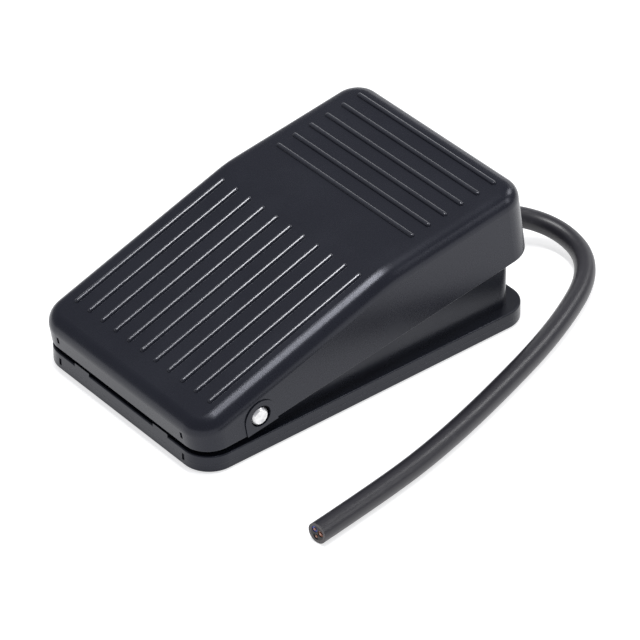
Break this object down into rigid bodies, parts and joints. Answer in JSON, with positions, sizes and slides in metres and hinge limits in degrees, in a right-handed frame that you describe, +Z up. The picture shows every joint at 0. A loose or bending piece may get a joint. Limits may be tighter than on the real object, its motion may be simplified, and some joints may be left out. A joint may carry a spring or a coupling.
{
  "type": "foot switch",
  "caption": "Black plastic sustain pedal: a ribbed pedal hinged at the front of a low base, sprung up, with a microswitch inside and a short cable cut off bare.",
  "frame": {"origin": "on the floor under the middle of the base, at the bottom centre of the pedal's bounding box without its cable", "axes": "+X to the right, +Y from the hinge end to the cable end, +Z up"},
  "size_m": [0.104, 0.1339, 0.0411],
  "materials": {
    "cover_plastic": "satin",
    "base_plastic": "satin",
    "rubber_foot": "matte",
    "pin_steel": "satin",
    "spring_steel": "satin",
    "screw_steel": "satin",
    "switch_plastic": "satin",
    "switch_lid_plastic": "satin",
    "plunger_plastic": "gloss",
    "lever_steel": "satin",
    "terminal_brass": "satin",
    "jacket_pvc": "satin",
    "core_blue": "satin",
    "core_brown": "satin",
    "core_black": "satin",
    "copper": "satin"
  },
  "bodies": {
    "base": {"base_housing": "base_plastic", "rubber_feet": "rubber_foot", "hinge_pin": "pin_steel", "switch_case": "switch_plastic", "switch_lid": "switch_lid_plastic", "cable_clamp": "base_plastic", "return_spring_left": "spring_steel", "return_spring_right": "spring_steel", "terminal_common": "terminal_brass", "terminal_open": "terminal_brass", "terminal_closed": "terminal_brass", "switch_screws": "screw_steel", "switch_nuts": "screw_steel", "clamp_screws": "screw_steel", "cable_tail": "jacket_pvc", "inner_wire_blue": "core_blue", "inner_wire_brown": "core_brown", "inner_wire_black": "core_black", "strain_relief": "jacket_pvc", "cable_jacket": "jacket_pvc", "core_end_blue": "core_blue", "core_end_brown": "core_brown", "core_end_black": "core_black", "core_conductors": "copper"},
    "pedal": {"pedal_cover": "cover_plastic"},
    "lever": {"switch_lever": "lever_steel"},
    "plunger": {"switch_plunger": "plunger_plastic"}
  },
  "joints": [
    {"name": "pedal_hinge", "type": "hinge", "parent": "base", "child": "pedal", "pos_m": [0, -0.03485, 0.0111], "axis": [1, 0, 0], "range_deg": [-4.5, 0], "stiffness_Nm_per_rad": 3, "springref_deg": 4.01, "deforming": ["return_spring_left", "return_spring_right"]},
    {"name": "lever_hinge", "type": "hinge", "parent": "base", "child": "lever", "pos_m": [-0.001, -0.0001, 0.0253], "axis": [1, 0, 0], "range_deg": [-11.1, 0]},
    {"name": "plunger_slide", "type": "slide", "parent": "base", "child": "plunger", "axis": [0, 0, 1], "range_m": [-0.00072, 0]}
  ],
  "couplings": [
    {"joint": "lever_hinge", "follows": "pedal_hinge", "ratio": 2.45},
    {"joint": "plunger_slide", "follows": "pedal_hinge", "m_per_rad": 0.0089}
  ]
}
